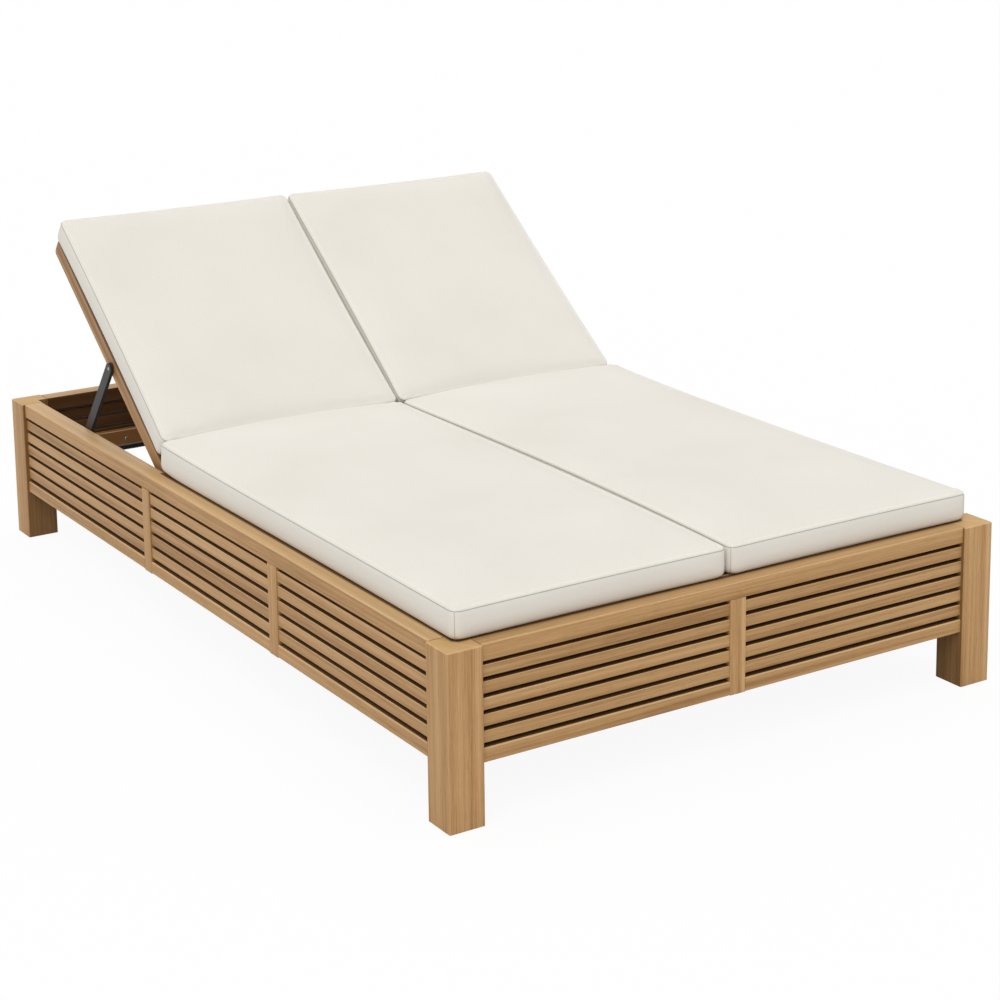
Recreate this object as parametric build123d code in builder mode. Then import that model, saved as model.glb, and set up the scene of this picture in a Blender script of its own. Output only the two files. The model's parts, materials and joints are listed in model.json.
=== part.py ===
import os
from math import asin, cos, radians, sin, sqrt

from build123d import *

# Double chaise lounger: a slatted timber frame on four posts, a slatted deck under two seat
# cushions, and two reclining backs that are held up by steel props.
# Lengths are in millimetres. X runs across, Y from the foot end to the head end, Z up.
# The origin is on the floor, in the middle of the frame. Only the left half is described in
# the values: the right half is its mirror image.

os.makedirs("parts", exist_ok=True)

# Whole frame
overall_width = 1300
overall_length = 2085
frame_height = 342
overrun = 5  # how far every cut runs past the face that it leaves

# Posts and their glides
leg_side = 75
leg_edge_radius = 3
leg_notch_depth = 60  # height of the corner cut out for the deck
glide_radius = 20
glide_thickness = 5
glide_stand = 1.5  # how far a glide stands out below its post
glide_fit = 0.1

# Rails and stiles
rail_setback = 6  # from the posts' outer faces
rail_width = 44
rail_edge_radius = 2.5
top_rail_depth = 33
bottom_rail_depth = 28
stile_width = 37
hinge_stile_from_head = 789  # to the stile's middle

# Slats of the side, foot and head panels
panel_slat_height = 23
panel_slat_gap = 8
panel_slat_thickness = 32
panel_slat_setback = 3  # from the rails' outer faces
panel_slat_edge = 1.2
side_slat_count = 5
head_slat_count = 3

# Deck under the seat cushions
deck_slat_width = 64
deck_slat_thickness = 20
deck_slat_count = 16
deck_slat_edge = 1.5
deck_end_gap = 2
ledger_width = 30
ledger_depth = 40

# Beams across and along the frame
beam_width = 40
beam_edge = 2
hinge_beam_gap = 4  # from the backs' round ends
hinge_beam_depth = 90
seat_beam_depth = 80
head_beam_top_gap = 1
cross_ledger_thickness = 20
foot_ledger_depth = 40
head_ledger_depth = 45
head_ledger_drop = 107  # from the frame's top to the ledger's top

# Reclining backs
back_angle = 37
hinge_from_head = 792.5
pivot_under_slats = 12
back_rail_depth = 42
back_rail_width = 30
back_rail_edge = 2.5
back_end_radius = 9
back_end_gap = 5
back_foot_rail_start = 26
back_foot_rail_width = 40
back_head_rail_width = 50
back_slat_count = 10
back_slat_width = 62
back_slat_thickness = 12
back_slat_edge = 1.5
back_slat_start = 20
back_slat_setback = 10  # from the back rails' outer faces
rest_block_length = 26
rest_block_width = 38
rest_block_depth = 24
rest_block_gap = 0.3

# Pivot bolts of the backs
pivot_radius = 5
pivot_head_radius = 9
pivot_head_thickness = 6
pivot_bite = 18  # how deep the bolt goes into the frame
pivot_fit = 0.08
pivot_head_edge = 1
face_gap = 0.3

# Steel props
prop_length = 325
prop_bar_drop = 80  # from the frame's top to the bar's middle
prop_pivot_along = 350
prop_pivot_drop = 15
prop_arm_width = 27
prop_arm_thickness = 8
prop_side_gap = 1  # on each side of an arm
prop_bar_radius = 6.5
prop_bar_proud = 0.5  # how far the bar's ends stand out of the arms
prop_bolt_radius = 4
prop_bolt_head_radius = 8
prop_bolt_head_thickness = 5
washer_radius = 10

# Notched racks that the props' bars drop into
rack_width = 25
rack_depth = 60
rack_edge = 1.5
rack_clearance = 2.6  # the bar dips by a little less than this on its way down
rack_leg_gap = 1
rack_notch_fit = 0.5
rack_notch_spacing = 48
rack_flatter_notches = 3  # besides the one for the back as it stands here

# Cushions
cushion_seam_height = 56
cushion_crown = 9
cushion_gap = 3  # between the left and the right cushion
cushion_corner_radius = 14
cushion_draw = 3  # how far the long edges pull in between the corners
cushion_bottom_tuck = 3
cushion_bottom_rise = 5
cushion_seam_tuck = 1.5
cushion_lift = 0.3
seat_cushion_inset = 43
seat_cushion_from_hinge = 4.5
back_cushion_inset = 55
back_cushion_start = 46
crown_inset_shares = (0.0, 0.03, 0.1, 0.25, 0.5)  # of the cushion's half width
crown_rise_shares = (0.0, 0.22, 0.5, 0.82, 1.0)  # of the crown

# Places that several pieces share
half_width = overall_width / 2
half_length = overall_length / 2
rail_face = half_width - rail_setback
rail_inside = rail_face - rail_width
end_rail_face = half_length - rail_setback
end_rail_inside = end_rail_face - rail_width
leg_inside = half_width - leg_side
leg_end_inside = half_length - leg_side
deck_under = frame_height - deck_slat_thickness
slat_pitch = panel_slat_height + panel_slat_gap
hinge_y = half_length - hinge_from_head
hinge_z = frame_height - back_slat_thickness - pivot_under_slats
back_rail_middle = pivot_under_slats - back_rail_depth / 2
back_side_gap = prop_arm_thickness + 2 * prop_side_gap
hinge_stile_y = half_length - hinge_stile_from_head
middle_stile_y = (hinge_stile_y - leg_end_inside) / 2
back_outside = rail_inside - back_side_gap
back_inside = beam_width / 2 + back_side_gap
back_length = hinge_from_head - rail_setback - rail_width - back_end_gap
head_beam_bottom = frame_height - head_ledger_drop
head_beam_top = frame_height - head_beam_top_gap
deck_start = -end_rail_inside + deck_end_gap
deck_stop = hinge_y - back_rail_depth / 2 - deck_end_gap
hinge_beam_back = hinge_y - back_rail_depth / 2 - hinge_beam_gap
hinge_beam_front = hinge_beam_back - beam_width

# Planes of the reclining backs: one in the back's face, one square to the pivot line
back_plane = Plane(
    origin=(0, hinge_y, hinge_z),
    x_dir=(1, 0, 0),
    z_dir=(0, -sin(radians(back_angle)), cos(radians(back_angle))),
)
back_side_plane = Plane(
    origin=(0, hinge_y, hinge_z),
    x_dir=(0, cos(radians(back_angle)), sin(radians(back_angle))),
    z_dir=(1, 0, 0),
)


def panel_bottom(slat_count):
    """Height of the underside of a panel with this many slats."""
    opening = slat_count * slat_pitch + panel_slat_gap
    return frame_height - top_rail_depth - opening - bottom_rail_depth


# The prop's pivot and its bar, seen from the side
pivot = back_side_plane.from_local_coords((prop_pivot_along, -prop_pivot_drop, 0))
pivot_y, pivot_z = pivot.Y, pivot.Z
bar_z = frame_height - prop_bar_drop
prop_slope = asin((pivot_z - bar_z) / prop_length)
bar_y = pivot_y + prop_length * cos(prop_slope)
rack_top = bar_z - prop_bar_radius - rack_clearance
prop_plane = Plane(
    origin=(0, pivot_y, pivot_z),
    x_dir=(0, cos(prop_slope), -sin(prop_slope)),
    z_dir=(1, 0, 0),
)


def middle(span):
    return (span[0] + span[1]) / 2


def size(span):
    return span[1] - span[0]


def keep(part, name):
    """Labels a finished piece and writes it to its own file."""
    part.label = name
    export_step(part, f"parts/{name}.step")


def keep_pair(part, name):
    """Writes a piece of the left half, and its mirror image for the right half."""
    keep(part, f"left_{name}")
    keep(mirror(part, about=Plane.YZ), f"right_{name}")


def board(x_span, y_span, z_span, along, edge, rounded=False):
    """A straight board with its long edges eased: along is the axis of its grain."""
    with BuildPart() as piece:
        with BuildSketch(Plane.XY.offset(z_span[0])):
            with Locations((middle(x_span), middle(y_span))):
                Rectangle(size(x_span), size(y_span))
        extrude(amount=size(z_span))
        long_edges = piece.edges().filter_by(along)
        if rounded:
            fillet(long_edges, radius=edge)
        else:
            chamfer(long_edges, length=edge)
    return piece.part


def board_row(boards):
    """Separate boards that share one node."""
    return Compound(children=list(boards))


# Posts
def corner_leg():
    """Front left post: eased edges, a corner cut for the deck and a seat for its glide."""
    with BuildPart() as leg:
        with BuildSketch(Plane.XY.offset(glide_stand)):
            with Locations(((-half_width - leg_inside) / 2, (-half_length - leg_end_inside) / 2)):
                Rectangle(leg_side, leg_side)
        extrude(amount=frame_height - glide_stand)
        fillet(leg.edges().filter_by(Axis.Z), radius=leg_edge_radius)
        outer_top = leg.faces().sort_by(Axis.Z)[-1].edges()
        fillet(outer_top, radius=leg_edge_radius)
        notch_x = (-rail_inside, -leg_inside + overrun)
        notch_y = (-end_rail_inside, -leg_end_inside + overrun)
        with BuildSketch(Plane.XY.offset(frame_height - leg_notch_depth)):
            with Locations((middle(notch_x), middle(notch_y))):
                Rectangle(size(notch_x), size(notch_y))
        extrude(amount=leg_notch_depth + overrun, mode=Mode.SUBTRACT)
        with Locations(leg.faces().sort_by(Axis.Z)[0]):
            Hole(radius=glide_radius + glide_fit, depth=glide_thickness - glide_stand)
    return leg.part


def leg_glides():
    """Four round glides, let into the posts."""
    x = (half_width + leg_inside) / 2
    y = (half_length + leg_end_inside) / 2
    with BuildPart() as glides:
        with BuildSketch():
            with GridLocations(2 * x, 2 * y, 2, 2):
                Circle(glide_radius)
        extrude(amount=glide_thickness - glide_fit)
        chamfer(glides.faces().sort_by(Axis.Z)[:4].edges(), length=glide_stand / 2)
    return glides.part


foot_leg = corner_leg()
head_leg = mirror(foot_leg, about=Plane.XZ)
keep_pair(foot_leg, "foot_leg")
keep_pair(head_leg, "head_leg")
keep(leg_glides(), "leg_glides")

# Top rails: the backs' pivot bolts go into blind holes in the side rails
top_rail_span = (frame_height - top_rail_depth, frame_height)
side_rail_x = (-rail_face, -rail_inside)
foot_rail_y = (-end_rail_face, -end_rail_inside)
head_rail_y = (end_rail_inside, end_rail_face)
across_span = (-leg_inside, leg_inside)


def side_top_rail():
    """Left top rail, with the blind hole for the back's pivot bolt."""
    with BuildPart() as rail:
        with BuildSketch(Plane.XY.offset(top_rail_span[0])):
            with Locations((middle(side_rail_x), 0)):
                Rectangle(rail_width, 2 * leg_end_inside)
        extrude(amount=top_rail_depth)
        fillet(rail.edges().filter_by(Axis.Y), radius=rail_edge_radius)
        with BuildSketch(Plane.YZ.offset(-rail_inside)):
            with Locations((hinge_y, hinge_z)):
                Circle(pivot_radius + pivot_fit)
        extrude(amount=-(pivot_bite + pivot_fit), mode=Mode.SUBTRACT)
    return rail.part


keep_pair(side_top_rail(), "top_rail")
keep(board(across_span, foot_rail_y, top_rail_span, Axis.X, rail_edge_radius, True), "foot_top_rail")
keep(board(across_span, head_rail_y, top_rail_span, Axis.X, rail_edge_radius, True), "head_top_rail")

# Stiles between the panels, and the bottom rails between stiles and posts
side_bottom = panel_bottom(side_slat_count)
head_bottom = panel_bottom(head_slat_count)
side_stile_z = (side_bottom, top_rail_span[0])
head_stile_z = (head_bottom, top_rail_span[0])
middle_stile_x = (-stile_width / 2, stile_width / 2)


def stile_span(place):
    return (place - stile_width / 2, place + stile_width / 2)


hinge_stile = board(side_rail_x, stile_span(hinge_stile_y), side_stile_z, Axis.Z, panel_slat_edge)
middle_stile = board(side_rail_x, stile_span(middle_stile_y), side_stile_z, Axis.Z, panel_slat_edge)
keep_pair(board_row((middle_stile, hinge_stile)), "side_stiles")
keep(board(middle_stile_x, foot_rail_y, side_stile_z, Axis.Z, panel_slat_edge), "foot_stile")
keep(board(middle_stile_x, head_rail_y, head_stile_z, Axis.Z, panel_slat_edge), "head_stile")

side_bays = (
    (-leg_end_inside, middle_stile_y - stile_width / 2),
    (middle_stile_y + stile_width / 2, hinge_stile_y - stile_width / 2),
    (hinge_stile_y + stile_width / 2, leg_end_inside),
)
end_bays = ((-leg_inside, -stile_width / 2), (stile_width / 2, leg_inside))
side_bottom_z = (side_bottom, side_bottom + bottom_rail_depth)
head_bottom_z = (head_bottom, head_bottom + bottom_rail_depth)
keep_pair(
    board_row(board(side_rail_x, bay, side_bottom_z, Axis.Y, rail_edge_radius) for bay in side_bays),
    "bottom_rails",
)
keep(
    board_row(board(bay, foot_rail_y, side_bottom_z, Axis.X, rail_edge_radius) for bay in end_bays),
    "foot_bottom_rails",
)
keep(
    board_row(board(bay, head_rail_y, head_bottom_z, Axis.X, rail_edge_radius) for bay in end_bays),
    "head_bottom_rails",
)

# Panel slats
slat_front = rail_face - panel_slat_setback
end_slat_front = end_rail_face - panel_slat_setback
side_slat_x = (-slat_front, panel_slat_thickness - slat_front)
foot_slat_y = (-end_slat_front, panel_slat_thickness - end_slat_front)
head_slat_y = (end_slat_front - panel_slat_thickness, end_slat_front)


def slat_levels(count):
    """Height spans of a panel's slats, from the top down."""
    tops = [top_rail_span[0] - panel_slat_gap - step * slat_pitch for step in range(count)]
    return [(top - panel_slat_height, top) for top in tops]


for bay_name, bay in zip(("foot_bay", "middle_bay", "head_bay"), side_bays):
    side_slats = board_row(
        board(side_slat_x, bay, level, Axis.Y, panel_slat_edge) for level in slat_levels(side_slat_count)
    )
    keep_pair(side_slats, f"{bay_name}_slats")
keep(
    board_row(
        board(bay, foot_slat_y, level, Axis.X, panel_slat_edge)
        for bay in end_bays
        for level in slat_levels(side_slat_count)
    ),
    "foot_panel_slats",
)
keep(
    board_row(
        board(bay, head_slat_y, level, Axis.X, panel_slat_edge)
        for bay in end_bays
        for level in slat_levels(head_slat_count)
    ),
    "head_panel_slats",
)

# Ledgers and beams that carry the deck
side_ledger_x = (-rail_inside, ledger_width - rail_inside)
side_ledger_y = (-end_rail_inside, hinge_beam_front)
side_ledger_z = (deck_under - ledger_depth, deck_under)
seat_beam_bottom = deck_under - seat_beam_depth
foot_ledger_y = (-end_rail_inside, cross_ledger_thickness - end_rail_inside)
foot_ledger_z = (seat_beam_bottom - foot_ledger_depth, seat_beam_bottom)
head_ledger_y = (end_rail_inside - cross_ledger_thickness, end_rail_inside)
head_ledger_z = (head_beam_bottom - head_ledger_depth, head_beam_bottom)
middle_x = (-beam_width / 2, beam_width / 2)
keep_pair(board(side_ledger_x, side_ledger_y, side_ledger_z, Axis.Y, beam_edge), "deck_ledger")
keep(board(across_span, foot_ledger_y, foot_ledger_z, Axis.X, beam_edge), "foot_ledger")
keep(board(across_span, head_ledger_y, head_ledger_z, Axis.X, beam_edge), "head_ledger")
keep(
    board(
        (-rail_inside, rail_inside),
        (hinge_beam_front, hinge_beam_back),
        (deck_under - hinge_beam_depth, deck_under),
        Axis.X,
        beam_edge,
    ),
    "hinge_beam",
)
keep(
    board(middle_x, (-end_rail_inside, hinge_beam_front), (seat_beam_bottom, deck_under), Axis.Y, beam_edge),
    "seat_beam",
)


def head_centre_beam():
    """Beam between the two backs, with the blind holes for their inner pivot bolts."""
    with BuildPart() as beam:
        with BuildSketch(Plane.XY.offset(head_beam_bottom)):
            with Locations((0, (hinge_beam_back + end_rail_inside) / 2)):
                Rectangle(beam_width, end_rail_inside - hinge_beam_back)
        extrude(amount=head_beam_top - head_beam_bottom)
        chamfer(beam.edges().filter_by(Axis.Y), length=beam_edge)
        last_slat_room = (hinge_beam_back - overrun, deck_stop + deck_end_gap)
        with BuildSketch(Plane.XY.offset(deck_under)):
            with Locations((0, middle(last_slat_room))):
                Rectangle(beam_width + 2 * overrun, size(last_slat_room))
        extrude(amount=deck_slat_thickness + overrun, mode=Mode.SUBTRACT)
        for side in (-1, 1):
            with BuildSketch(Plane.YZ.offset(side * beam_width / 2)):
                with Locations((hinge_y, hinge_z)):
                    Circle(pivot_radius + pivot_fit)
            extrude(amount=-side * (pivot_bite + pivot_fit), mode=Mode.SUBTRACT)
    return beam.part


keep(head_centre_beam(), "head_beam")

# Deck slats across the frame, from the foot rail to the backs' pivots
deck_gap = (deck_stop - deck_start - deck_slat_count * deck_slat_width) / (deck_slat_count - 1)
deck_slat_x = (deck_end_gap - rail_inside, rail_inside - deck_end_gap)


def deck_slat(step):
    start = deck_start + step * (deck_slat_width + deck_gap)
    span = (start, start + deck_slat_width)
    return board(deck_slat_x, span, (deck_under, frame_height), Axis.X, deck_slat_edge)


keep(board_row(deck_slat(step) for step in range(deck_slat_count)), "deck_slats")


# Racks for the props and rest blocks for the lowered backs
rack_y = (hinge_beam_back, end_rail_inside - cross_ledger_thickness)


def notched_rack(x_span):
    """A board on edge whose top has one round notch for each position of the back."""
    steps = range(rack_flatter_notches + 1)
    notches = [(bar_y + step * rack_notch_spacing, rack_top) for step in steps]
    with BuildPart() as rack:
        with BuildSketch(Plane.YZ.offset(x_span[0])):
            with Locations((middle(rack_y), rack_top - rack_depth / 2)):
                Rectangle(size(rack_y), rack_depth)
            with Locations(*notches):
                Circle(prop_bar_radius + rack_notch_fit, mode=Mode.SUBTRACT)
        extrude(amount=size(x_span))
        lower_edges = rack.faces().sort_by(Axis.Z)[0].edges().filter_by(Axis.Y)
        chamfer(lower_edges, length=rack_edge)
    return rack.part


outer_rack_x = (rack_leg_gap - leg_inside, rack_leg_gap + rack_width - leg_inside)
inner_rack_x = tuple(-rail_inside - beam_width / 2 - edge for edge in reversed(outer_rack_x))
keep_pair(board_row((notched_rack(outer_rack_x), notched_rack(inner_rack_x))), "racks")
rest_block_y = (leg_end_inside - rest_block_length, leg_end_inside)
rest_block_top = frame_height - back_slat_thickness - back_rail_depth - rest_block_gap
rest_block_z = (rest_block_top - rest_block_depth, rest_block_top)
left_rest_starts = (-rail_inside, -beam_width / 2 - rest_block_width)
rest_starts = left_rest_starts + tuple(-start - rest_block_width for start in left_rest_starts)
rest_block_x = [(start, start + rest_block_width) for start in rest_starts]
keep(
    board_row(board(span, rest_block_y, rest_block_z, Axis.Y, rack_edge) for span in rest_block_x),
    "rest_blocks",
)

# Rails of a reclining back
outer_back_rail_x = (-back_outside, back_rail_width - back_outside)
inner_back_rail_x = (-back_inside - back_rail_width, -back_inside)
between_rails_x = (outer_back_rail_x[1], inner_back_rail_x[0])


def back_rail(x_span):
    """A side rail of the back: round at its pivot, eased at its top end, bored for its bolts."""
    with BuildPart() as rail:
        with BuildSketch(back_side_plane.offset(x_span[0])):
            with Locations((back_length / 2, back_rail_middle)):
                Rectangle(back_length, back_rail_depth)
            with Locations((0, back_rail_middle)):
                Circle(back_rail_depth / 2)
        extrude(amount=size(x_span))
        end_face = rail.faces().sort_by(Axis.Y)[-1]
        fillet(end_face.edges().filter_by(Axis.X), radius=back_end_radius)
        side_faces = rail.faces().filter_by(Axis.X)
        fillet(side_faces.edges(), radius=back_rail_edge)
        with BuildSketch(back_side_plane.offset(x_span[0] - overrun)):
            Circle(pivot_radius + pivot_fit)
            with Locations((prop_pivot_along, -prop_pivot_drop)):
                Circle(prop_bolt_radius + pivot_fit)
        extrude(amount=size(x_span) + 2 * overrun, mode=Mode.SUBTRACT)
    return rail.part


def back_board(x_span, along_span, bottom, thickness, edge):
    """A board across the back: bottom is its height above the pivot line, square to the back."""
    with BuildPart() as piece:
        with BuildSketch(back_plane.offset(bottom)):
            with Locations((middle(x_span), middle(along_span))):
                Rectangle(size(x_span), size(along_span))
        extrude(amount=thickness)
        chamfer(piece.edges().filter_by(Axis.X), length=edge)
    return piece.part


keep_pair(back_rail(outer_back_rail_x), "back_outer_rail")
keep_pair(back_rail(inner_back_rail_x), "back_inner_rail")
back_foot_rail_end = back_foot_rail_start + back_foot_rail_width
back_head_rail_start = back_length - back_head_rail_width
back_foot_span = (back_foot_rail_start, back_foot_rail_end)
back_head_span = (back_head_rail_start, back_length)
cross_rail = (back_rail_middle - back_rail_depth / 2, back_rail_depth, back_rail_edge)
keep_pair(back_board(between_rails_x, back_foot_span, *cross_rail), "back_foot_rail")
keep_pair(back_board(between_rails_x, back_head_span, *cross_rail), "back_head_rail")
back_slat_room = back_length - back_slat_start - back_slat_count * back_slat_width
back_slat_gap = back_slat_room / (back_slat_count - 1)
back_slat_x = (outer_back_rail_x[0] + back_slat_setback, inner_back_rail_x[1] - back_slat_setback)


def back_slat(step):
    start = back_slat_start + step * (back_slat_width + back_slat_gap)
    span = (start, start + back_slat_width)
    return back_board(back_slat_x, span, pivot_under_slats, back_slat_thickness, back_slat_edge)


keep_pair(board_row(back_slat(step) for step in range(back_slat_count)), "back_slats")


# Bolts, washers and props
def bolt(plane, place, head_x, shank_tip_x, shank_radius, head_radius, head_thickness):
    """A round headed bolt across the frame: its head's inner face is at head_x."""
    inward = 1 if shank_tip_x < head_x else -1
    with BuildPart() as piece:
        with BuildSketch(plane.offset(shank_tip_x)):
            with Locations(place):
                Circle(shank_radius)
        extrude(amount=head_x - shank_tip_x)
        with BuildSketch(plane.offset(head_x)):
            with Locations(place):
                Circle(head_radius)
        extrude(amount=inward * head_thickness)
        crown = piece.faces().filter_by(Axis.X).sort_by(Axis.X)[-1 if inward > 0 else 0]
        chamfer(crown.edges(), length=pivot_head_edge)
    return piece.part


def washer(plane, place, x_span, bore_radius):
    with BuildPart() as piece:
        with BuildSketch(plane.offset(x_span[0] + pivot_fit)):
            with Locations(place):
                Circle(washer_radius)
                Circle(bore_radius, mode=Mode.SUBTRACT)
        extrude(amount=size(x_span) - 2 * pivot_fit)
    return piece.part


def back_pivots():
    """The outer and inner pivot bolts of the left back, each with its washer."""
    outer_head = outer_back_rail_x[1] + face_gap
    inner_head = inner_back_rail_x[0] - face_gap
    outer_tip = -rail_inside - pivot_bite
    inner_tip = pivot_bite - beam_width / 2
    bore = pivot_radius + pivot_fit
    head = (pivot_radius, pivot_head_radius, pivot_head_thickness)
    return board_row(
        (
            bolt(back_side_plane, (0, 0), outer_head, outer_tip, *head),
            bolt(back_side_plane, (0, 0), inner_head, inner_tip, *head),
            washer(back_side_plane, (0, 0), (-rail_inside, outer_back_rail_x[0]), bore),
            washer(back_side_plane, (0, 0), (inner_back_rail_x[1], -beam_width / 2), bore),
        )
    )


outer_arm_x = (prop_side_gap - rail_inside, prop_side_gap + prop_arm_thickness - rail_inside)
inner_arm_x = tuple(-rail_inside - beam_width / 2 - edge for edge in reversed(outer_arm_x))


def prop_pivots():
    """The two bolts that a prop turns on, each with its washer: they are fixed in the back's rails."""
    outer_head = between_rails_x[0] + face_gap
    inner_head = between_rails_x[1] - face_gap
    outer_tip = outer_arm_x[0]
    inner_tip = inner_arm_x[1]
    bore = prop_bolt_radius + pivot_fit
    head = (prop_bolt_radius, prop_bolt_head_radius, prop_bolt_head_thickness)
    place = (prop_pivot_along, -prop_pivot_drop)
    return board_row(
        (
            bolt(back_side_plane, place, outer_head, outer_tip, *head),
            bolt(back_side_plane, place, inner_head, inner_tip, *head),
            washer(back_side_plane, place, (outer_arm_x[1], outer_back_rail_x[0]), bore),
            washer(back_side_plane, place, (inner_back_rail_x[1], inner_arm_x[0]), bore),
        )
    )


def prop_arm(x_span):
    """A flat steel arm, round at both ends, with eyes for its bolt and for the bar."""
    with BuildPart() as arm:
        with BuildSketch(prop_plane.offset(x_span[0])):
            with Locations((prop_length / 2, 0)):
                SlotCenterToCenter(prop_length, prop_arm_width)
            Circle(prop_bolt_radius + pivot_fit, mode=Mode.SUBTRACT)
            with Locations((prop_length, 0)):
                Circle(prop_bar_radius + pivot_fit, mode=Mode.SUBTRACT)
        extrude(amount=size(x_span))
    return arm.part


def prop_bar():
    """The round bar through both arms of a prop: it crosses over the two racks."""
    start = outer_arm_x[0] - prop_bar_proud
    stop = inner_arm_x[1] + prop_bar_proud
    with BuildPart() as bar:
        with BuildSketch(prop_plane.offset(start)):
            with Locations((prop_length, 0)):
                Circle(prop_bar_radius)
        extrude(amount=stop - start)
        chamfer(bar.faces().filter_by(Axis.X).edges(), length=pivot_head_edge)
    return bar.part


keep_pair(back_pivots(), "back_pivots")
keep_pair(prop_pivots(), "prop_pivots")
keep_pair(board_row((prop_arm(outer_arm_x), prop_arm(inner_arm_x))), "prop_arms")
keep_pair(prop_bar(), "prop_bar")


# Cushions
def cushion_section(plane, half_x, half_y, radius):
    """Outline of a cushion at one level: round corners, and sides that pull in between them."""
    reach = radius * (1 - 1 / sqrt(2))
    with BuildSketch(plane) as outline:
        with BuildLine():
            for x, y in ((1, 1), (-1, 1), (-1, -1), (1, -1)):
                side_point = (x * half_x, y * (half_y - radius))
                end_point = (x * (half_x - radius), y * half_y)
                corner_point = (x * (half_x - reach), y * (half_y - reach))
                ThreePointArc(side_point, corner_point, end_point)
            for x in (-1, 1):
                low = (x * half_x, radius - half_y)
                high = (x * half_x, half_y - radius)
                ThreePointArc(low, (x * (half_x - cushion_draw), 0), high)
            for y in (-1, 1):
                left = (radius - half_x, y * half_y)
                right = (half_x - radius, y * half_y)
                ThreePointArc(left, (0, y * (half_y - cushion_draw)), right)
        make_face()
    return outline.sketch


def cushion(plane, width, length):
    """A boxed cushion on its plane: flat below, upright sides and a crowned top."""
    half_x, half_y = width / 2, length / 2
    levels = [
        (0, cushion_bottom_tuck),
        (cushion_bottom_rise, 0),
        (cushion_seam_height - cushion_bottom_rise, 0),
    ]
    for inset_share, rise_share in zip(crown_inset_shares, crown_rise_shares):
        inset = cushion_seam_tuck + inset_share * half_x
        levels.append((cushion_seam_height + rise_share * cushion_crown, inset))
    with BuildPart() as pad:
        for height, inset in levels:
            radius = cushion_corner_radius + inset / 2
            add(cushion_section(plane.offset(height), half_x - inset, half_y - inset, radius))
        loft(ruled=True)
    return pad.part


seat_cushion_x = (seat_cushion_inset - half_width, -cushion_gap / 2)
seat_cushion_y = (seat_cushion_inset - half_length, hinge_y - seat_cushion_from_hinge)
back_cushion_x = (back_cushion_inset - half_width, -cushion_gap / 2)
back_cushion_along = (back_cushion_start, back_length)
back_slat_top = pivot_under_slats + back_slat_thickness
seat_cushion_plane = Plane(
    origin=(middle(seat_cushion_x), middle(seat_cushion_y), frame_height + cushion_lift)
)
back_cushion_plane = Plane(
    origin=back_plane.from_local_coords(
        (middle(back_cushion_x), middle(back_cushion_along), back_slat_top + cushion_lift)
    ),
    x_dir=back_plane.x_dir,
    z_dir=back_plane.z_dir,
)
keep_pair(cushion(seat_cushion_plane, size(seat_cushion_x), size(seat_cushion_y)), "seat_cushion")
keep_pair(cushion(back_cushion_plane, size(back_cushion_x), size(back_cushion_along)), "back_cushion")
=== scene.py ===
import json
import math

import bpy
from mathutils import Matrix, Vector


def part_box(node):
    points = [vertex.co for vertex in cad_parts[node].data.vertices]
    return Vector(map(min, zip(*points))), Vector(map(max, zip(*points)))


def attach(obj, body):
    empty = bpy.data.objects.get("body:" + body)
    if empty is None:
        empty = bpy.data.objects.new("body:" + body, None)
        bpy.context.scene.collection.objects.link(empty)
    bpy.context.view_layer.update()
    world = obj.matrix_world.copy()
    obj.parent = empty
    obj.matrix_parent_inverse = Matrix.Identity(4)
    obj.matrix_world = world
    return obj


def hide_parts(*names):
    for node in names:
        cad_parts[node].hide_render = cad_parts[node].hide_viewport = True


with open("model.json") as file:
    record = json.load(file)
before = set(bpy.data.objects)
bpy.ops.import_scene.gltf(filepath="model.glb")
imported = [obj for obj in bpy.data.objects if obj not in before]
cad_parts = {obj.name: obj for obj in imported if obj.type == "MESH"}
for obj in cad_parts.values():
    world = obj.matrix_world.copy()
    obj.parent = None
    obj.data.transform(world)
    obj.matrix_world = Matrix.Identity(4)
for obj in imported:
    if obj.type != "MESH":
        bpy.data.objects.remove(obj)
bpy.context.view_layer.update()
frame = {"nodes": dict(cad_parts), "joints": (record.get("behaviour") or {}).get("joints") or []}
nodes = frame["nodes"]

left_back_hinge = next(joint for joint in frame["joints"] if joint["name"] == "left_back_hinge")
HINGE = Vector((0.0, *left_back_hinge["pos_m"][1:]))
BACK_ANGLE = math.radians(-left_back_hinge["range_deg"][0])
BACK_RAIL_PROUD = 0.012  # the backs' rails above the hinge's height, square to the slope
BACK_SLAT_THICKNESS = 0.012
X, Y, Z = range(3)


# Shader expressions
class Field:
    """A socket of a node tree. Arithmetic on it adds Math nodes."""

    def __init__(self, tree, socket):
        self.tree = tree
        self.socket = socket

    def math(self, operation, *operands):
        return self.tree.node("ShaderNodeMath", {"operation": operation}, dict(enumerate(operands)))

    def __add__(self, other):
        return self.math("ADD", self, other)

    def __radd__(self, other):
        return self.math("ADD", other, self)

    def __sub__(self, other):
        return self.math("SUBTRACT", self, other)

    def __rsub__(self, other):
        return self.math("SUBTRACT", other, self)

    def __mul__(self, other):
        return self.math("MULTIPLY", self, other)

    def __rmul__(self, other):
        return self.math("MULTIPLY", other, self)

    def __truediv__(self, other):
        return self.math("DIVIDE", self, other)

    def floor(self):
        return self.math("FLOOR", self)

    def larger(self, other):
        return self.math("MAXIMUM", self, other)

    def size(self):
        return self.math("ABSOLUTE", self)

    def wave(self):
        return self.math("SINE", self)

    def between(self, low, high):
        """0 at low, 1 at high, smooth between."""
        return self.tree.node(
            "ShaderNodeMapRange",
            {"interpolation_type": "SMOOTHSTEP"},
            {"Value": self, "From Min": low, "From Max": high},
        )


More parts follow.
